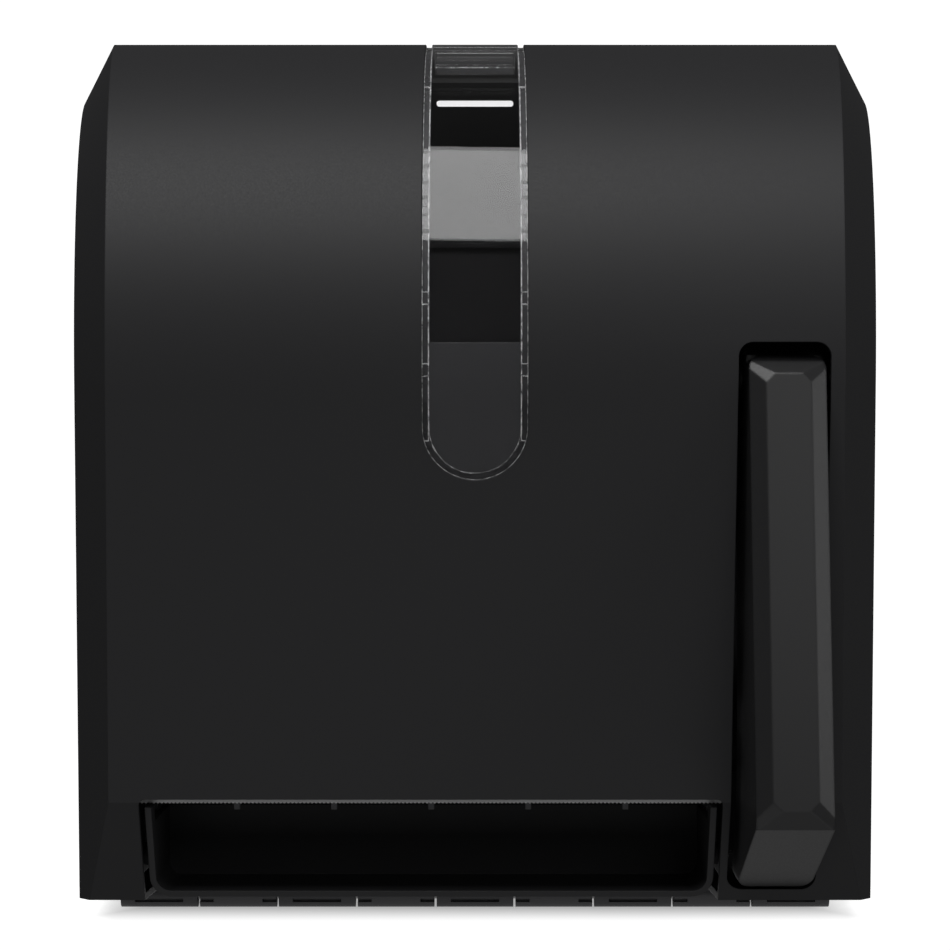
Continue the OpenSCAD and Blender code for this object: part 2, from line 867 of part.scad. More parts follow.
module tear_bar_holder() {
    y0 = tear_y + tear_t;
    y1 = y0 + holder_t;
    shelf = holder_top - holder_t;
    color(mid_plastic)
        difference() {
            union() {
                across(left_x1, inner_x0)
                    union() {
                        // front wall, shelf and rail
                        polygon([[y0, holder_low], [y1, holder_low], [y1, shelf],
                            [rail_y, shelf], [rail_y, rail_low], [rail_y + rail_t, rail_low],
                            [rail_y + rail_t, holder_top], [y0, holder_top]]);
                        // guard round the feed roller
                        difference() {
                            disc_at([feed_y, feed_z], guard_r1);
                            disc_at([feed_y, feed_z], guard_r0);
                            translate([feed_y - 40, feed_z - 80])
                                square([80, 79.5]);
                            translate([feed_y - 2, feed_z - 40])
                                square([80, 80]);
                        }
                    }
                // fingers under the cutting edge
                for (x = tear_lugs)
                    box(x - tear_lug_w / 2, x + tear_lug_w / 2, y0 + 0.2, y1 - 0.2,
                        tear_edge - tear_lug_l, holder_low + 2);
                // tenons in the frames
                for (x = [[left_x0, left_x1 + 0.5], [inner_x0 - 0.5, inner_x1]])
                    box(x[0], x[1], tenon[0], tenon[1], tenon[2], tenon[3]);
            }
            for (x = tear_screws)
                rod_y(y0 - 1, y1 + 1, [x, tear_screw_z], tear_screw_r);
        }
}

module tear_bar() {
    root = tear_edge + tear_tooth;
    color(steel)
        difference() {
            inward(tear_y, tear_y + tear_t)
                polygon(concat([[tear_x0, tear_top], [tear_x0, root]],
                    [for (i = [0 : tear_n - 1], s = [0.5, 1])
                        [tear_x0 + (i + s) * tear_step, s == 1 ? root : tear_edge]],
                    [[tear_x1, tear_top]]));
            for (x = tear_screws)
                rod_y(tear_y - 1, tear_y + tear_t + 1, [x, tear_screw_z], tear_screw_r);
        }
}

module tear_bar_screws() {
    color(steel)
        for (x = tear_screws) {
            rod_y(tear_y - 1.6, tear_y, [x, tear_screw_z], 2 * tear_screw_r);
            rod_y(tear_y - 0.2, tear_y + tear_t + holder_t - 0.2, [x, tear_screw_z],
                tear_screw_r);
        }
}

module paper_guide() {
    color(mid_plastic)
        across(left_x1, inner_x0)
            difference() {
                disc_at([feed_y, feed_z], guard_r1);
                disc_at([feed_y, feed_z], guard_r0);
                translate([feed_y, feed_z])
                    polygon([[0, 0], [13, -40], [-80, -80], [-80, 80], [60, 24]]);
            }
}

// A flanged bush, its flange inside
module roller_bush(x0, x1, side) {
    f = side > 0 ? x1 : x0 - bush_flange_t;
    difference() {
        union() {
            rod_x(x0, x1, [feed_y, feed_z], bush_r);
            rod_x(f, f + bush_flange_t, [feed_y, feed_z], bush_flange_r);
        }
        rod_x(x0 - 5, x1 + 5, [feed_y, feed_z], shaft_r + fit);
    }
}

module roller_bushes() {
    color(pale_plastic) {
        roller_bush(left_x0, left_x1, 1);
        roller_bush(inner_x0, inner_x1, -1);
        roller_bush(outer_x0, outer_x1, -1);
    }
}

// Side view of a roll arm, from y_end at the wall side to the hub
module arm_outline(y_end) {
    polygon([[y_end, roll_z - arm_r - 1], [y_end, roll_z + arm_r + 1],
        [roll_y + 6, roll_z + arm_r - 2], [roll_y, roll_z + arm_r - 3],
        [roll_y, roll_z - arm_r + 3], [roll_y + 6, roll_z - arm_r + 2]]);
    disc_at([roll_y, roll_z], arm_r);
}

module left_roll_arm() {
    color(mid_plastic)
        difference() {
            union() {
                across(arm_l1 - arm_t, arm_l1)
                    difference() {
                        arm_outline(-plate_t);
                        disc_at([roll_y, roll_z], axle_r);
                    }
                box(arm_l1 - arm_t - flange_l, arm_l1 - arm_t + 0.5, -plate_t - flange_t,
                    -plate_t, roll_z - arm_foot, roll_z + arm_foot);
            }
            plate_screw_bores();
        }
}

// Stub axle with a head at each end; d is the way to the roll
module hub_axle(x_arm, d) {
    h = axle_head_t;
    x_out = x_arm - d * arm_t;
    x_tip = x_arm + d * (hub_gap + hub_flange + axle_l);
    p = [roll_y, roll_z];
    color(steel) {
        rod_x(min(x_out, x_tip), max(x_out, x_tip), p, axle_r);
        rod_x(min(x_out - d * h, x_out), max(x_out - d * h, x_out), p, axle_head_r + 1);
        rod_x(min(x_tip, x_tip + d * h), max(x_tip, x_tip + d * h), p, axle_head_r);
    }
}

module left_hub_axle() {
    hub_axle(arm_l1, 1);
}

module right_hub_axle() {
    hub_axle(arm_r0, -1);
}

// Spinning hub: flange, stepped plug with grip ribs, recess for the axle head
module roll_hub(x_arm, d) {
    translate([x_arm + d * hub_gap, roll_y, roll_z])
        rotate([0, 90 * d, 0])
            difference() {
                union() {
                    cylinder(r = hub_r + 9, h = 2.5);
                    cylinder(r = hub_r, h = hub_l);
                    translate([0, 0, hub_l])
                        cylinder(r1 = hub_r, r2 = hub_r - 2.5, h = hub_tip);
                    for (i = [0 : 5])
                        rotate([0, 0, i * 60])
                            translate([hub_r - 1, -0.9, 2])
                                cube([2, 1.8, hub_l - 3]);
                }
                translate([0, 0, -1])
                    cylinder(r = axle_r + fit, h = 30);
                translate([0, 0, hub_flange + axle_l - hub_gap])
                    cylinder(r = axle_head_r + 0.6, h = 10);
                translate([0, 0, 5])
                    difference() {
                        cylinder(r = hub_r - 4, h = 20);
                        cylinder(r = axle_head_r + 2.4, h = 20);
                    }
            }
}

module left_roll_hub() {
    color(pale_plastic)
        roll_hub(arm_l1, 1);
}

module right_roll_hub() {
    color(pale_plastic)
        roll_hub(arm_r0, -1);
}

module right_roll_arm() {
    x0 = arm_r0 - 10;
    x1 = arm_r0 + 20;
    color(mid_plastic)
        difference() {
            union() {
                across(arm_r0, arm_r0 + arm_t)
                    difference() {
                        arm_outline(arm_pin_y - 3);
                        disc_at([roll_y, roll_z], axle_r);
                    }
                rod_z(arm_barrel[0], arm_barrel[1], [arm_pin_x, arm_pin_y], arm_lug_r);
                // ledge that the spring leg presses
                box(arm_r0 + arm_t - 0.3, arm_pin_x + arm_leg, arm_pin_y - 22, arm_pin_y - 16,
                    arm_spring_z - 3, arm_spring_z + 7);
            }
            rod_z(arm_lug_z[0] - 7, arm_lug_z[1] + 18, [arm_pin_x, arm_pin_y], arm_pin_r + fit);
            box(x0, x1, arm_pin_y - 6, arm_pin_y + 10, arm_barrel[1], arm_barrel[1] + 30);
            box(x0, x1, arm_pin_y - 6, arm_pin_y + 10, arm_barrel[0] - 20, arm_barrel[0]);
        }
}

module arm_pivot_pin() {
    color(steel)
        rod_z(arm_lug_z[0] - 1, arm_lug_z[1] + arm_lug_h + 1.4, [arm_pin_x, arm_pin_y],
            arm_pin_r);
}

// Round wire wound about the X axis, with a straight leg at each end
function coil_point(r, a, rise) = [rise, r * cos(a), r * sin(a)];

function coil_frame(r, a, rise, pitch) =
    let (p = coil_point(r, a, rise))
    let (t0 = [pitch / 360, -r * sin(a) * PI / 180, r * cos(a) * PI / 180])
    let (t = t0 / norm(t0))
    let (u = [0, cos(a), sin(a)])
    [p, u, cross(t, u)];

function coil_rings(coil, a0, a1, leg0, leg1) =
    let (n = ceil((a1 - a0) / 45))
    let (f = [for (i = [0 : n]) let (a = a0 + (a1 - a0) * i / n)
        coil_frame(coil[0], a, coil[1] * (a - a0) / 360, coil[1])])
    concat(leg0 > 0 ? [[f[0][0] - leg0 * [0, -sin(a0), cos(a0)], f[0][1], f[0][2]]] : [], f,
        leg1 > 0 ? [[f[n][0] + leg1 * [0, -sin(a1), cos(a1)], f[n][1], f[n][2]]] : []);

module wire(coil, a0, a1, leg0, leg1) {
    rings = coil_rings(coil, a0, a1, leg0, leg1);
    n = len(rings);
    m = 6;
    pts = [for (g = rings, j = [0 : m - 1])
        g[0] + coil[2] * (cos(j * 360 / m) * g[1] + sin(j * 360 / m) * g[2])];
    sides = [for (i = [0 : n - 2], j = [0 : m - 1], h = [0, 1])
        h == 0 ? [i * m + j, (i + 1) * m + (j + 1) % m, (i + 1) * m + j]
            : [i * m + j, i * m + (j + 1) % m, (i + 1) * m + (j + 1) % m]];
    ends = [[for (j = [m - 1 : -1 : 0]) j], [for (j = [0 : m - 1]) (n - 1) * m + j]];
    polyhedron(points = pts, faces = concat(sides, ends), convexity = 8);
}

function coil_gap(coil) =
    min([for (a = [0 : 15 : 345]) norm(coil_point(coil[0], a, coil[1] * a / 360)
        - coil_point(coil[0], a + 360, coil[1] * (a + 360) / 360))]) - 2 * coil[2];

echo("paddle spring gap", coil_gap(paddle_coil));
echo("arm spring gap", coil_gap(arm_coil));
echo("pinch spring gap", coil_gap(pinch_coil));

module paddle_spring() {
    color(steel)
        translate([outer_x0 - 0.9, pivot_y, pivot_z])
            mirror([1, 0, 0])
                wire(paddle_coil, 90, 1260, 24, 26);
}

module arm_spring() {
    color(steel)
        translate([arm_pin_x, arm_pin_y, arm_spring_z])
            mirror([0, 1, 0])
                rotate([0, -90, -90])
                    wire(arm_coil, 90, 1080, 10, 20);
}

module pinch_springs() {
    color(steel)
        for (x = [(left_x0 + left_x1) / 2, (inner_x0 + inner_x1) / 2])
            translate([x, feed_y, spring_seat_z + spring_end])
                rotate([0, -90, 0])
                    wire(pinch_coil, 0, 360 * pinch_turns, 0, 0);
}

module paddle_pin() {
    color(steel)
        rod_x(inner_x0 - 1.2, outer_x1 + 1.6, pivot_p, pivot_r);
}

module paddle_pin_clips() {
    color(steel)
        for (x = [inner_x0 - clip_t, outer_x1])
            ring_x(x, x + clip_t, pivot_p, pivot_r + 2.5, pivot_r);
}

// Bearing block in the slot of a frame, with a flange inside
module pinch_block(x0, x1, d) {
    f = d > 0 ? x1 : x0 - block_flange_t;
    difference() {
        union() {
            box(x0, x1, feed_y - block_half, feed_y + block_half, pinch_z - block_h,
                pinch_z + block_h);
            box(f, f + block_flange_t, feed_y - block_half - 2, feed_y + block_half + 2,
                pinch_z - block_h, pinch_z + block_h);
        }
        rod_x(x0 - 4, x1 + 4, [feed_y, pinch_z], pinch_shaft_r + fit);
    }
}

module pinch_blocks() {
    color(pale_plastic) {
        pinch_block(left_x0, left_x1, 1);
        pinch_block(inner_x0, inner_x1, -1);
    }
}

module pinch_shaft() {
    color(steel)
        rod_x(left_x0, inner_x1, [feed_y, pinch_z], pinch_shaft_r);
}

module pinch_wheels() {
    color(pale_plastic)
        for (x = wheel_at)
            ring_x(x - wheel_l / 2, x + wheel_l / 2, [feed_y, pinch_z], pinch_r, pinch_shaft_r);
}

module feed_shaft() {
    color(steel)
        rod_x(left_x0 - 3.4, outer_x1 + 3.4, [feed_y, feed_z], shaft_r);
}

module feed_core() {
    color(pale_plastic)
        ring_x(mouth_cx - core_l / 2, mouth_cx + core_l / 2, [feed_y, feed_z], feed_r - tyre_t,
            shaft_r);
}

module feed_tyres() {
    color(rubber)
        for (x = wheel_at)
            ring_x(x - tyre_l / 2, x + tyre_l / 2, [feed_y, feed_z], feed_r, feed_r - tyre_t);
}

module shaft_clips() {
    color(steel)
        for (x = [left_x0 - 1.6, outer_x1 + 0.6])
            ring_x(x, x + 1, [feed_y, feed_z], shaft_r + 2.5, shaft_r);
}

// Gear teeth, their flanks as involutes in short straight steps
function inv(a) = tan(a) * 180 / PI - a;

function half_tooth(n, r) =
    let (rp = gear_m * n / 2)
    let (rb = rp * cos(pressure_a))
    90 / n - backlash / 4 / rp * 180 / PI + inv(pressure_a)
        - inv(acos(min(1, rb / max(r, rb))));

function tooth(n, c, radii) = concat(
    [for (r = radii) r * [cos(c - half_tooth(n, r)), sin(c - half_tooth(n, r))]],
    [for (i = [len(radii) - 1 : -1 : 0]) let (r = radii[i])
        r * [cos(c + half_tooth(n, r)), sin(c + half_tooth(n, r))]]);

function flank_radii(n) =
    let (rp = gear_m * n / 2)
    let (r0 = rp - gear_ded * gear_m)
    let (r1 = rp + gear_add * gear_m)
    let (rb = max(rp * cos(pressure_a), r0 + 0.05))
    [r0, rb, rb + (r1 - rb) * 0.3, rb + (r1 - rb) * 0.65, r1];

module drive_pinion() {
    c0 = mesh_a + 180 + 180 / pinion_n;
    color(steel)
        across(gear_x0 - 0.5, gear_x1 + 0.5)
            translate([feed_y, feed_z])
                difference() {
                    polygon([for (i = [0 : pinion_n - 1])
                        each tooth(pinion_n, c0 + i * 360 / pinion_n, flank_radii(pinion_n))]);
                    circle(r = shaft_r);
                }
}

module clutch_hub() {
    x = gear_x0 - 0.5 - clutch_l;
    color(pale_plastic)
        ring_x(x, x + clutch_l, [feed_y, feed_z], clutch_r, shaft_r);
}

// Point at the radius r and the angle a about the paddle pivot
function about_pivot(r, a) = pivot_p + r * [cos(a), sin(a)];

module sector_gear() {
    rr = sector_root;
    a0 = sector_low + 1.4;
    a1 = sector_high - 1.4;
    first = -floor((stroke + sector_spare) / sector_step);
    last = floor(sector_spare / sector_step);
    color(pale_plastic)
        across(gear_x0, gear_x1)
            difference() {
                union() {
                    translate(pivot_p)
                        polygon(concat(
                            [for (i = [first : last])
                                each tooth(sector_n, mesh_a + i * sector_step,
                                    flank_radii(sector_n))],
                            [(rr - 4) * [cos(sector_high), sin(sector_high)],
                                (rr - 4) * [cos(sector_low), sin(sector_low)]]));
                    intersection() {
                        difference() {
                            disc_at(pivot_p, rr - 0.6, $fn = fine);
                            disc_at(pivot_p, rr - sector_rim, $fn = fine);
                        }
                        polygon([pivot_p, about_pivot(2 * rr, sector_low),
                            about_pivot(2 * rr, sector_high)]);
                    }
                    disc_at(pivot_p, pivot_r + 3.2);
                    bar_at(pivot_p, about_pivot(rr - 6, a0), 7);
                    bar_at(pivot_p, about_pivot(rr - 6, a1), 7);
                    bar_at(pivot_p, about_pivot(rr - 6, (a0 + a1) / 2), 5);
                    bar_at(about_pivot(98, a0), clamp_p, 9);
                    disc_at(clamp_p, clamp_r + 3.5);
                }
                disc_at(pivot_p, pivot_r + fit);
                disc_at(clamp_p, clamp_r);
            }
}

module sector_bolt() {
    nut_x = gear_x0 - clamp_t - 2.4;
    color(steel) {
        rod_x(nut_x - 0.2, gear_x1 + clamp_t + 0.2, clamp_p, clamp_r);
        rod_x(gear_x1 + clamp_t, gear_x1 + clamp_t + 2.4, clamp_p, clamp_r + 1.6);
        difference() {
            rod_x(nut_x, nut_x + 2.4, clamp_p, 2 * clamp_r, $fn = 6);
            rod_x(nut_x - 0.2, nut_x + 2.6, clamp_p, clamp_r);
        }
    }
}

// Depth of the panel's face at the height z
function panel_y(z) = panel_top[0] - (panel_top[1] - z) * tan(paddle_lean);

// Paddle seen from the side
module paddle_outline() {
    polygon([pivot_p + [0, boss_r], rim_top, bevel_top, panel_top, panel_low, bevel_low,
        skirt_low, skirt_back, [front_y + 50, -118], [front_y + 47, -82],
        [front_y + 41, 16], pivot_p + [boss_r, 0]]);
    disc_at(pivot_p, boss_r);
}

module paddle_hollow(t) {
    roof = pivot_z + boss_r - 2.4;
    inside = front_y + 120;
    polygon([[pivot_y, roof], bevel_top + t * [1.1, -0.9], panel_top + t * [1, -0.4],
        panel_low + t * [1, 0.3], bevel_low + t * [0.8, 0.8], skirt_low + t * [0.3, 1.3],
        skirt_back + t * [0, 1.2], [inside, skirt_back[1] + t * 1.2], [inside, roof]]);
}

// Width of the paddle with its two long bevels, seen along the panel
module paddle_plan(x0, x1, lift, bw) {
    deep = 140;
    translate([0, panel_top[0], panel_top[1]])
        rotate([-paddle_lean, 0, 0])
            translate([0, 0, -240])
                linear_extrude(300)
                    polygon([[x0, deep], [x0, bevel_d + lift], [x0 + bw, lift], [x1 - bw, lift],
                        [x1, bevel_d + lift], [x1, deep]]);
}

// Waste at a corner of the panel, turned by a towards the corner
module panel_corner(s, z, a) {
    translate([s * (paddle_w / 2 - bevel_w - facet_in), 0, z])
        rotate([0, s * a, 0])
            rotate([-facet_a, 0, 0])
                translate([-15, -10, -6])
                    cube([30, 10, 30]);
}

// Waste outside a rounded upper corner of the front
module top_corner(s) {
    inward(-far, rim_top[0] + 5)
        translate([paddle_cx + s * (paddle_w / 2 - paddle_corner), rim_top[1] - paddle_corner])
            difference() {
                mirror([s < 0 ? 1 : 0, 0])
                    square(paddle_corner + 5);
                circle(paddle_corner);
            }
}

module paddle() {
    t = paddle_wall;
    moving_stop = pivot_p - [paddle_coil[0] + paddle_coil[2] + stop_r, 20];
    color(dark_plastic)
        difference() {
            union() {
                difference() {
                    intersection() {
                        across(paddle_x0, paddle_x1)
                            paddle_outline();
                        paddle_plan(paddle_x0, paddle_x1, 0, bevel_w);
                        inward(-far, front_y + 102)
                            round_rect(paddle_x0, paddle_x1, skirt_low[1],
                                pivot_z + boss_r + 0.5, paddle_corner);
                    }
                    intersection() {
                        across(paddle_x0 + t, paddle_x1 - t)
                            paddle_hollow(t);
                        paddle_plan(paddle_x0 + t, paddle_x1 - t, t, bevel_w - 0.6);
                    }
                    // rounded upper corners, slanted corners of the panel
                    for (s = [-1, 1])
                        top_corner(s);
                    translate([paddle_cx, panel_top[0], panel_top[1]])
                        rotate([-paddle_lean, 0, 0])
                            for (s = [-1, 1]) {
                                panel_corner(s, -facet_in, 45);
                                panel_corner(s, facet_in - panel_l, 135);
                            }
                }
                // pivot bosses, the left one reaching to the frame
                rod_x(paddle_x0 + t - 0.3, paddle_x0 + 7.4, pivot_p, boss_r - 1.5);
                rod_x(paddle_x1 - 7.4, paddle_x1 - t + 0.3, pivot_p, boss_r - 1.5);
                rod_x(inner_x1 + 0.4, paddle_x0 + t, pivot_p, boss_r - 3);
                // cheeks that clamp the toothed sector
                for (x = [gear_x0 - clamp_t, gear_x1])
                    across(x, x + clamp_t)
                        polygon([[panel_y(clamp_p[1] + 20) + 1, clamp_p[1] + 20],
                            clamp_p + [1, 7], clamp_p + [5, 0], clamp_p + [1, -7],
                            [panel_y(clamp_p[1] - 20) + 1, clamp_p[1] - 20]]);
                // stop that the moving leg of the return spring presses
                rod_x(paddle_x1 - 0.5, paddle_x1 + 3, moving_stop, stop_r - 0.1);
            }
            rod_x(paddle_x0 - 5, paddle_x1 + 5, pivot_p, pivot_r + fit);
            rod_x(gear_x0 - 8, gear_x1 + 8, clamp_p, clamp_r);
        }
}

module hinge_pin() {
    color(steel)
        rod_x(-hinge_l / 2 + 0.6, hinge_l / 2 - 0.6, [hinge_y, hinge_z], hinge_pin_r);
}

module lock_body() {
    p = [lock_x, lock_y];
    color(steel)
        difference() {
            union() {
                rod_z(top_z - lock_l, top_z + 0.2, p, lock_r);
                rod_z(top_z, top_z + lock_head_t, p, lock_head_r);
            }
            rod_z(top_z - 30, top_z + 10, p, plug_r + fit);
        }
}

module lock_nut() {
    color(steel)
        difference() {
            rod_z(top_z - wall - 5.2, top_z - wall - 1.2, [lock_x, lock_y], lock_r + 4, $fn = 6);
            rod_z(top_z - 30, top_z, [lock_x, lock_y], lock_r);
        }
}

module lock_plug() {
    p = [lock_x, lock_y];
    color(steel)
        difference() {
            union() {
                rod_z(cam_z1, top_z + lock_head_t + 0.4, p, plug_r);
                rod_z(cam_z0 - 2.4, cam_z1, p, plug_tail_r);
            }
            box(lock_x - keyway[0] / 2, lock_x + keyway[0] / 2, lock_y - keyway[1] / 2,
                lock_y + keyway[1] / 2, top_z - keyway[2], top_z + 5);
        }
}

module lock_cam() {
    x0 = lock_x - cam_l;
    y0 = lock_y - cam_half;
    y1 = lock_y + cam_half;
    color(steel)
        difference() {
            union() {
                rod_z(cam_z0, cam_z1, [lock_x, lock_y], plug_r + 0.4);
                box(x0, lock_x, y0, y1, cam_z0, cam_z1);
                box(x0, x0 + 4.5, y0, y1, cam_z0 - cam_hook, cam_z1);
            }
            rod_z(top_z - 40, top_z, [lock_x, lock_y], plug_tail_r);
        }
}

back_plate();
left_frame();
inner_frame();
outer_frame();
frame_screws();
chute();
chute_screws();
tear_bar_holder();
tear_bar();
tear_bar_screws();
paper_guide();
roller_bushes();
left_roll_arm();
left_hub_axle();
arm_screws();
arm_pivot_pin();
arm_spring();
paddle_pin();
paddle_pin_clips();
paddle_spring();
pinch_blocks();
pinch_springs();
hinge_pin();
front_cover();
window_lens();
lock_body();
lock_nut();
lock_plug();
lock_cam();
paddle();
sector_gear();
sector_bolt();
feed_shaft();
feed_core();
feed_tyres();
drive_pinion();
clutch_hub();
shaft_clips();
pinch_shaft();
pinch_wheels();
right_roll_arm();
right_hub_axle();
left_roll_hub();
right_roll_hub();
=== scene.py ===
import json
import math

import bpy
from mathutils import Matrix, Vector

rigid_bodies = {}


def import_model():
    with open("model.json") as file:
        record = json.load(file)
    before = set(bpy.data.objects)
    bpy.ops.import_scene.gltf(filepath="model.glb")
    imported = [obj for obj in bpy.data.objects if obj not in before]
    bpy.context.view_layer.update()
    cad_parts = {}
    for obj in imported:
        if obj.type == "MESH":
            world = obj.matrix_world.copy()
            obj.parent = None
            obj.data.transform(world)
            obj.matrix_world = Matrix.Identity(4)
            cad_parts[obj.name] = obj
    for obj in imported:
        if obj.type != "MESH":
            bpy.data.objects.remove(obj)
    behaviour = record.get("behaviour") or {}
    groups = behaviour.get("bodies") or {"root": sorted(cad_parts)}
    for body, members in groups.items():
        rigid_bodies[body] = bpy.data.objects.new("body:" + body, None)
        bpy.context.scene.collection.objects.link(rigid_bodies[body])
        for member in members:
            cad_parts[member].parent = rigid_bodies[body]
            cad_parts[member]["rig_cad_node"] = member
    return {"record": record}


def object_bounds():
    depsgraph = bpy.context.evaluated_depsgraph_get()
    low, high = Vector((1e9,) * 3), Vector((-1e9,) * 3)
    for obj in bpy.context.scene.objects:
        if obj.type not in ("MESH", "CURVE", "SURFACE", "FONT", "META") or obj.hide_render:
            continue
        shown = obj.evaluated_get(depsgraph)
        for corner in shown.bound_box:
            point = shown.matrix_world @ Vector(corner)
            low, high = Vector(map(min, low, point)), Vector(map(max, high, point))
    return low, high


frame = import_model()
cad_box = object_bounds()

MM = 0.001
WHITE = (1, 1, 1, 1)

# Camera: level, square to the front, at the distance that fits the photograph
IMAGE_PX = 950
FOCAL_PX = 2763
SENSOR_MM = 36.0
CAMERA_Y = -1208 * MM

# Grain: a noise that mostly stays within GRAIN_SPAN, and moves the roughness up and down
GRAIN_SPAN = (0.3, 0.7)
GRAIN_DETAIL = 3.0
GRAIN_BUMP = 0.05
GRAIN_DEPTH = 0.1 * MM
ROUGH_SPREAD = 0.05

# Blue that the dark plastics add to their grey
COVER_BLUE = 0.06
FRAME_BLUE = 0.05

# Window: the edge, painted pale in specks as a painted highlight, begins where a rounded normal
# leaves the face's own, given as cosines
LENS_EDGE = 0.5 * MM
LENS_EDGE_COSINES = (0.995, 0.9)
LENS_EDGE_PAINTED_GLINT = 1.0
LENS_TINT = (0.86, 0.86, 0.87)
SPECK = 2.2 * MM
SPECK_SPAN = (0.42, 0.6)
SPECK_LEAST = 0.2
# The clear body hardly bends light, and the coat on it gives the gloss of plastic
LENS_BODY_IOR = 1.01
LENS_COAT_IOR = 1.45
LENS_COAT_ROUGH = 0.02

# Studio: light levels, and cosines between which a glow rises towards its axis
STUDIO_DIM = 0.06
FROM_BELOW = 0.15
BACKDROP = 1.1
BACKDROP_COSINES = (0.9893, 0.9905)
BELOW_COSINES = (0.35, 0.7)

# Floor: its glow is dimmed to grey under the object as a painted shadow, and is white further out
FLOOR_Z = cad_box[0][2] - 0.5 * MM
FLOOR_HALF_X = 0.2
FLOOR_Y = (-0.075, 0.05)
FLOOR_SHADOW_AND_GLOW = (0.36, 1.05)
FLOOR_SHADOW_FADE_X = (0.135, 0.18)
FLOOR_SHADOW_FADE_Y = (0.0, -0.06)

# Pieces that the light behind the object reaches
WALL_SIDE = ("back_plate", "frame_screws", "arm_screws")


def node_object(name):
    """The object that shows a CAD node."""
    for obj in bpy.data.objects:
        if obj.get("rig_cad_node") == name:
            return obj
    raise KeyError(name)


# Shader nodes

def map_range(tree, socket, source, result, smooth=False):
    """A socket that runs over the result range while the given one runs over the source range."""
    mapped = tree.nodes.new("ShaderNodeMapRange")
    if smooth:
        mapped.interpolation_type = "SMOOTHSTEP"
    mapped.inputs["From Min"].default_value = source[0]
    mapped.inputs["From Max"].default_value = source[1]
    mapped.inputs["To Min"].default_value = result[0]
    mapped.inputs["To Max"].default_value = result[1]
    tree.links.new(socket, mapped.inputs["Value"])
    return mapped.outputs["Result"]


def combine(tree, operation, *sockets):
    """The result of a sum, product or the like of one or two sockets."""
    node = tree.nodes.new("ShaderNodeMath")
    node.operation = operation
    for i, socket in enumerate(sockets):
        tree.links.new(socket, node.inputs[i])
    return node.outputs["Value"]


def object_place(tree):
    """A point's place on the object."""
    return tree.nodes.new("ShaderNodeTexCoord").outputs["Object"]


def noise_at(tree, place, size):
    """A noise node whose spots are about the given size."""
    noise = tree.nodes.new("ShaderNodeTexNoise")
    noise.inputs["Scale"].default_value = 1 / size
    tree.links.new(place, noise.inputs["Vector"])
    return noise


def rounded_normal(tree, radius):
    """The normal that the surface would have with its edges rounded."""
    bevel = tree.nodes.new("ShaderNodeBevel")
    bevel.inputs["Radius"].default_value = radius
    return bevel.outputs["Normal"]


def two_tone(tree, socket, low, high):
    """A colour that goes from low to high as the socket goes from 0 to 1."""
    ramp = tree.nodes.new("ShaderNodeValToRGB")
    ramp.color_ramp.elements[0].color = (*low, 1)
    ramp.color_ramp.elements[1].color = (*high, 1)
    tree.links.new(socket, ramp.inputs["Fac"])
    return ramp.outputs["Color"]


# Materials

def new_material(name):
    """A new material, its node tree and its shader."""
    mat = bpy.data.materials.new(name)
    mat.use_nodes = True
    return mat, mat.node_tree, mat.node_tree.nodes["Principled BSDF"]


def grey(level, blue=0.0):
    return (level, level, level * (1 + blue))


def grained(name, levels, rough, specular, blue=0.0, metallic=0.0, grain_mm=0.6, edge_mm=0.6):
    """Moulded plastic, rubber or metal: a fine grain, and edges that look slightly rounded."""
    mat, tree, shader = new_material(name)
    noise = noise_at(tree, object_place(tree), grain_mm * MM)
    noise.inputs["Detail"].default_value = GRAIN_DETAIL
    grain = noise.outputs["Fac"]
    colour = two_tone(tree, grain, grey(levels[0], blue), grey(levels[1], blue))
    tree.links.new(colour, shader.inputs["Base Color"])
    if edge_mm:
        relief = tree.nodes.new("ShaderNodeBump")
        relief.inputs["Strength"].default_value = GRAIN_BUMP
        relief.inputs["Distance"].default_value = GRAIN_DEPTH
        tree.links.new(grain, relief.inputs["Height"])
        tree.links.new(rounded_normal(tree, edge_mm * MM), relief.inputs["Normal"])
        tree.links.new(relief.outputs["Normal"], shader.inputs["Normal"])
    uneven = map_range(tree, grain, GRAIN_SPAN, (rough - ROUGH_SPREAD, rough + ROUGH_SPREAD))
    tree.links.new(uneven, shader.inputs["Roughness"])
    shader.inputs["Specular IOR Level"].default_value = specular
    shader.inputs["Metallic"].default_value = metallic
    return mat


def clear_plastic(name):
    """Clear plastic, with a painted highlight: its edges are painted pale in specks, standing in for
    the glints that rounded edges catch.
    """
    mat, tree, shader = new_material(name)
    rounded = rounded_normal(tree, LENS_EDGE)
    face = tree.nodes.new("ShaderNodeNewGeometry")
    same = tree.nodes.new("ShaderNodeVectorMath")
    same.operation = "DOT_PRODUCT"
    tree.links.new(rounded, same.inputs[0])
    tree.links.new(face.outputs["Normal"], same.inputs[1])
    at_edge = map_range(tree, same.outputs["Value"], LENS_EDGE_COSINES, (0, 1))
    spots = noise_at(tree, object_place(tree), SPECK).outputs["Fac"]
    specks = map_range(tree, spots, SPECK_SPAN, (SPECK_LEAST, 1))
    # Painted highlight: near the edges the colour turns pale and the plastic stops being clear, in
    # noisy specks
    painted_glint = combine(tree, "MULTIPLY", at_edge, specks)
    tree.links.new(two_tone(tree, painted_glint, LENS_TINT, grey(LENS_EDGE_PAINTED_GLINT)), shader.inputs["Base Color"])
    tree.links.new(map_range(tree, painted_glint, (0, 1), (1, 0)), shader.inputs["Transmission Weight"])
    tree.links.new(rounded, shader.inputs["Coat Normal"])
    shader.inputs["Roughness"].default_value = 0.0
    shader.inputs["IOR"].default_value = LENS_BODY_IOR
    shader.inputs["Coat Weight"].default_value = 1.0
    shader.inputs["Coat IOR"].default_value = LENS_COAT_IOR
    shader.inputs["Coat Roughness"].default_value = LENS_COAT_ROUGH
    return mat


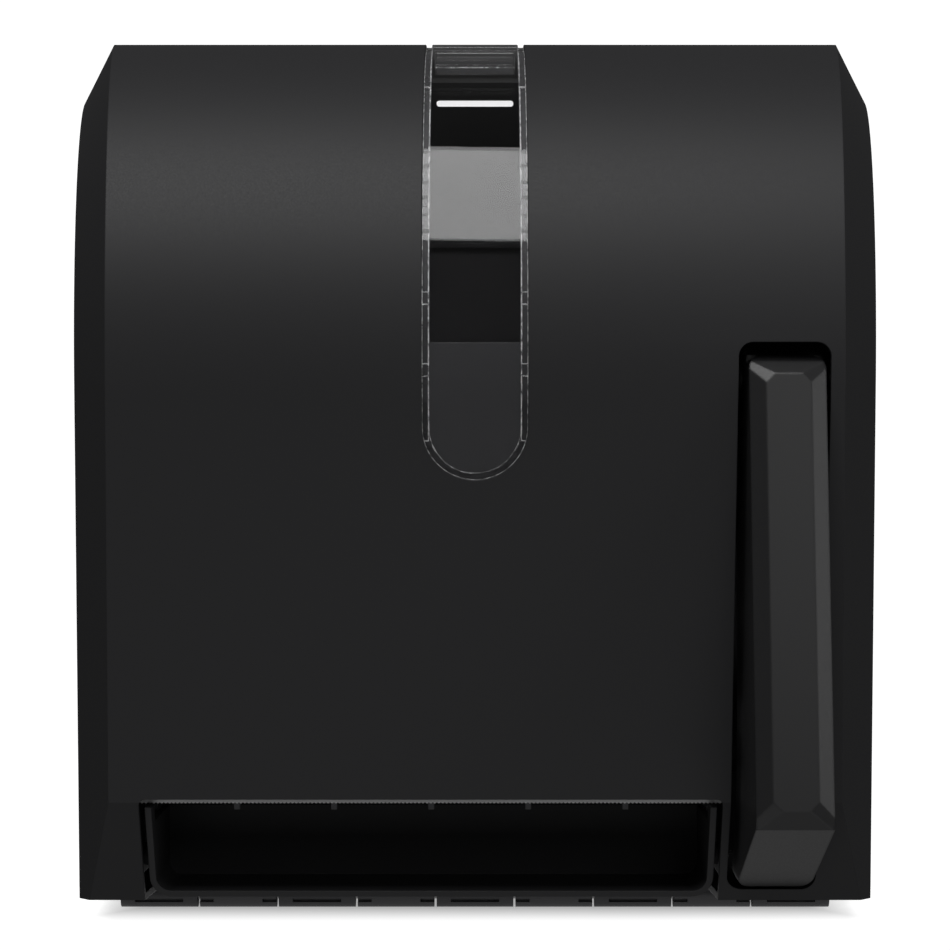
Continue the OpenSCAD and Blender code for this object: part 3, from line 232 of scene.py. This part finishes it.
# Materials by the record's slots, and pieces that have one of their own
slot_material = {
    "cover_plastic": grained("cover_plastic", (0.025, 0.031), rough=0.54, specular=0.35,
                             blue=COVER_BLUE),
    "frame_plastic": grained("frame_plastic", (0.030, 0.037), rough=0.5, specular=0.2,
                             blue=FRAME_BLUE),
    "bearing_plastic": grained("bearing_plastic", (0.12, 0.15), rough=0.45, specular=0.3),
    "window_plastic": clear_plastic("window_clear"),
    "roller_rubber": grained("roller_rubber", (0.015, 0.022), rough=0.8, specular=0.15, grain_mm=1.2),
    "steel": grained("steel", (0.30, 0.36), rough=0.35, specular=0.5, metallic=1.0),
}
spring_steel = grained("spring_steel", (0.06, 0.08), rough=0.4, specular=0.5, metallic=1.0)
own_material = {
    "paddle": grained("paddle_plastic", (0.013, 0.016), rough=0.4, specular=0.7, blue=COVER_BLUE,
                      edge_mm=1.2),
    "chute": grained("chute_plastic", (0.032, 0.040), rough=0.45, specular=0.35, blue=FRAME_BLUE),
    "tear_bar_holder": grained("holder_plastic", (0.12, 0.14), rough=0.5, specular=0.25,
                               blue=FRAME_BLUE),
    "tear_bar": grained("tear_bar_steel", (0.68, 0.78), rough=0.45, specular=0.5, metallic=1.0),
    "paddle_spring": spring_steel,
    "arm_spring": spring_steel,
    "pinch_springs": spring_steel,
}
for row in frame["record"]["subparts"]:
    mesh = node_object(row["node"]).data
    mesh.materials.clear()
    mesh.materials.append(own_material.get(row["node"], slot_material[row["material_slot"]]))

# Light falls through the clear window
node_object("window_lens").visible_shadow = False


# Stage

def add_to_scene(name, data):
    """A new object in the scene."""
    obj = bpy.data.objects.new(name, data)
    bpy.context.scene.collection.objects.link(obj)
    return obj


def place_camera():
    data = bpy.data.cameras.new("camera")
    data.sensor_width = SENSOR_MM
    data.lens = SENSOR_MM * FOCAL_PX / IMAGE_PX
    camera = add_to_scene("camera", data)
    camera.location = (0, CAMERA_Y, 0)
    camera.rotation_euler = (math.radians(90), 0, 0)
    bpy.context.scene.camera = camera


def soft_light(name, place, target, size, radiance):
    """A rectangle of even light that faces the target."""
    width, height = size
    data = bpy.data.lights.new(name, "AREA")
    data.shape = "RECTANGLE"
    data.size = width
    data.size_y = height
    data.energy = radiance * math.pi * width * height
    light = add_to_scene(name, data)
    light.location = place
    light.rotation_euler = (Vector(target) - Vector(place)).to_track_quat("-Z", "Y").to_euler()
    return light


def place_lights():
    """Soft boxes above and to the right, a strip for the paddle, a low fill and a light behind."""
    soft_light("top_softbox", place=(-0.2, -1.05, 1.5), target=(0, -0.1, 0.1),
               size=(1.3, 1.2), radiance=3.75)
    soft_light("right_fill", place=(1.72, -0.8, 0.38), target=(0.1, -0.15, -0.05),
               size=(0.6, 1.0), radiance=1.85)
    back_fill = soft_light("back_fill", place=(0.4, 1.7, 0.5), target=(0, 0, 0),
                           size=(0.8, 0.8), radiance=6.0)
    soft_light("panel_strip", place=(0.45, -1.6, 0.5), target=(0.115, -0.2, 0),
               size=(0.5, 0.3), radiance=1.6)
    soft_light("low_front", place=(0.05, -1.4, -0.9), target=(0, -0.15, -0.05),
               size=(1.8, 0.6), radiance=0.42)
    # The light behind is for the wall side alone, so that it adds no rim to the front view
    wall_side = bpy.data.collections.new("wall_side")
    for node in WALL_SIDE:
        wall_side.objects.link(node_object(node))
    back_fill.light_linking.receiver_collection = wall_side


def glow(tree, way, axis, cosines, levels):
    """Light that rises from one level to the other as the direction turns towards the axis."""
    toward = tree.nodes.new("ShaderNodeVectorMath")
    toward.operation = "DOT_PRODUCT"
    toward.inputs[1].default_value = axis
    tree.links.new(way, toward.inputs[0])
    return map_range(tree, toward.outputs["Value"], cosines, levels, smooth=True)


def light_studio():
    """Dim all round, paler from below, with a lit patch straight behind the object."""
    world = bpy.data.worlds.new("studio")
    world.use_nodes = True
    bpy.context.scene.world = world
    tree = world.node_tree
    way = tree.nodes.new("ShaderNodeTexCoord").outputs["Generated"]
    behind = glow(tree, way, (0, 1, 0), BACKDROP_COSINES, (STUDIO_DIM, BACKDROP))
    below = glow(tree, way, (0, 0, -1), BELOW_COSINES, (0, FROM_BELOW))
    studio = combine(tree, "ADD", behind, below)
    # Seen past the object, the studio is plain white
    sight = tree.nodes.new("ShaderNodeLightPath")
    seen = tree.nodes.new("ShaderNodeMix")
    factor = seen.inputs[0]
    around, past_object = seen.inputs[2:4]
    tree.links.new(sight.outputs["Is Camera Ray"], factor)
    tree.links.new(studio, around)
    past_object.default_value = BACKDROP
    background = tree.nodes["Background"]
    tree.links.new(seen.outputs["Result"], background.inputs["Strength"])
    background.inputs["Color"].default_value = WHITE


def lay_floor():
    """A pale lit sheet under the object that takes its soft shadow, with its glow dimmed under the
    object as a painted shadow.
    """
    front, back = FLOOR_Y
    mesh = bpy.data.meshes.new("floor")
    corners = [(-FLOOR_HALF_X, front, FLOOR_Z), (FLOOR_HALF_X, front, FLOOR_Z),
               (FLOOR_HALF_X, back, FLOOR_Z), (-FLOOR_HALF_X, back, FLOOR_Z)]
    mesh.from_pydata(corners, [], [(0, 1, 2, 3)])
    mat = grained("floor_white", (0.86, 0.88), rough=0.9, specular=0.1, grain_mm=40, edge_mm=0)
    tree = mat.node_tree
    along = tree.nodes.new("ShaderNodeSeparateXYZ")
    tree.links.new(object_place(tree), along.inputs["Vector"])
    aside = combine(tree, "ABSOLUTE", along.outputs["X"])
    # Painted shadow: the glow is grey close behind and under the object, and fades to white forward
    # and to the sides
    painted_shadow_forward = map_range(tree, along.outputs["Y"], FLOOR_SHADOW_FADE_Y, FLOOR_SHADOW_AND_GLOW, smooth=True)
    painted_shadow_outward = map_range(tree, aside, FLOOR_SHADOW_FADE_X, FLOOR_SHADOW_AND_GLOW, smooth=True)
    shader = tree.nodes["Principled BSDF"]
    shader.inputs["Emission Color"].default_value = WHITE
    tree.links.new(combine(tree, "MAXIMUM", painted_shadow_forward, painted_shadow_outward), shader.inputs["Emission Strength"])
    mesh.materials.append(mat)
    floor = add_to_scene("floor", mesh)


place_camera()
place_lights()
light_studio()
lay_floor()
bpy.context.scene.view_settings.view_transform = "Standard"
